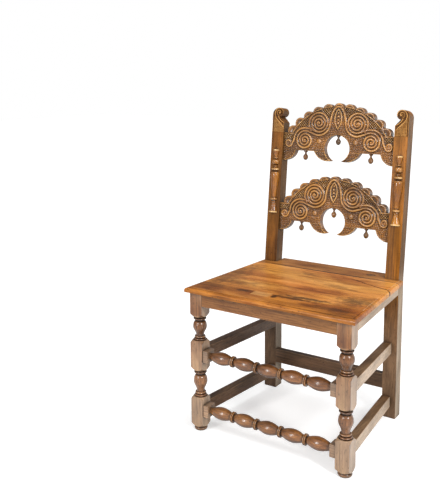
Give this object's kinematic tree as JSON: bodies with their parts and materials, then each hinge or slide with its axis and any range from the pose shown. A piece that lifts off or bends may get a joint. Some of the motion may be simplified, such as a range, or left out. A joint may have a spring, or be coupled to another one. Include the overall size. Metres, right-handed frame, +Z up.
{
  "type": "side chair",
  "caption": "Joined oak side chair with a raked back, pierced and scalloped carved back rails, turned front legs and stretchers and a plank seat.",
  "frame": {"origin": "on the floor, under the middle of the chair's overall width and depth", "axes": "+Z up, the chair's front faces -Y, +X to the right of someone who looks at its front"},
  "size_m": [0.5452, 0.509, 0.984],
  "materials": {
    "leg_oak": "worn satin",
    "post_oak": "waxed",
    "rail_oak": "waxed",
    "dark_oak": "dull, dark with age",
    "side_oak": "worn satin",
    "seat_oak": "glossy, polished with wear",
    "patch_oak": "polished",
    "turned_oak": "polished",
    "carved_oak": "waxed carving, dark in the hollows",
    "drop_oak": "polished",
    "spindle_oak": "polished"
  },
  "bodies": {
    "root": {"front_leg_left": "leg_oak", "front_leg_right": "leg_oak", "back_post_left": "post_oak", "back_post_right": "post_oak", "front_seat_rail": "rail_oak", "back_seat_rail": "dark_oak", "left_seat_rail": "side_oak", "right_seat_rail": "side_oak", "seat_front_board": "seat_oak", "seat_middle_board": "seat_oak", "seat_back_board": "seat_oak", "seat_patch": "patch_oak", "seat_back_peg": "dark_oak", "upper_front_stretcher": "turned_oak", "lower_front_stretcher": "turned_oak", "left_upper_stretcher": "dark_oak", "left_lower_stretcher": "dark_oak", "right_upper_stretcher": "side_oak", "right_lower_stretcher": "side_oak", "back_stretcher": "dark_oak", "crest_rail": "carved_oak", "lower_arched_rail": "carved_oak", "crest_drop_left": "drop_oak", "crest_drop_middle": "drop_oak", "crest_drop_right": "drop_oak", "lower_drop_left": "drop_oak", "lower_drop_middle": "drop_oak", "lower_drop_right": "drop_oak", "split_spindle_left": "spindle_oak", "split_spindle_right": "spindle_oak"}
  },
  "joints": []
}
